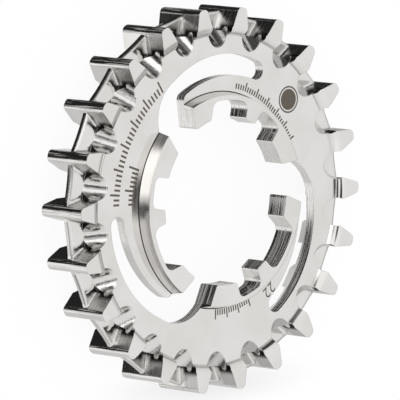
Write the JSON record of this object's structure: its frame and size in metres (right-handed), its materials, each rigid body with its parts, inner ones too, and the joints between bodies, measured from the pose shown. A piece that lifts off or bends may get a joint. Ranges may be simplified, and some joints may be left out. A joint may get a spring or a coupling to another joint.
{
  "type": "belt drive sprocket",
  "caption": "One-piece steel rear sprocket for a toothed bicycle belt, with a centre fin, mud ports and a splined hub seat on curved arms.",
  "frame": {"origin": "on the turning axis, in the plane of the back ends of the teeth", "axes": "+Z along the turning axis towards the boss side, which faces away from the wheel; +X through the middle of one tooth"},
  "size_m": [0.0762, 0.0754, 0.0121],
  "materials": {
    "steel": "polished, with fine machining marks"
  },
  "bodies": {
    "root": {"sprocket": "steel"}
  },
  "joints": []
}
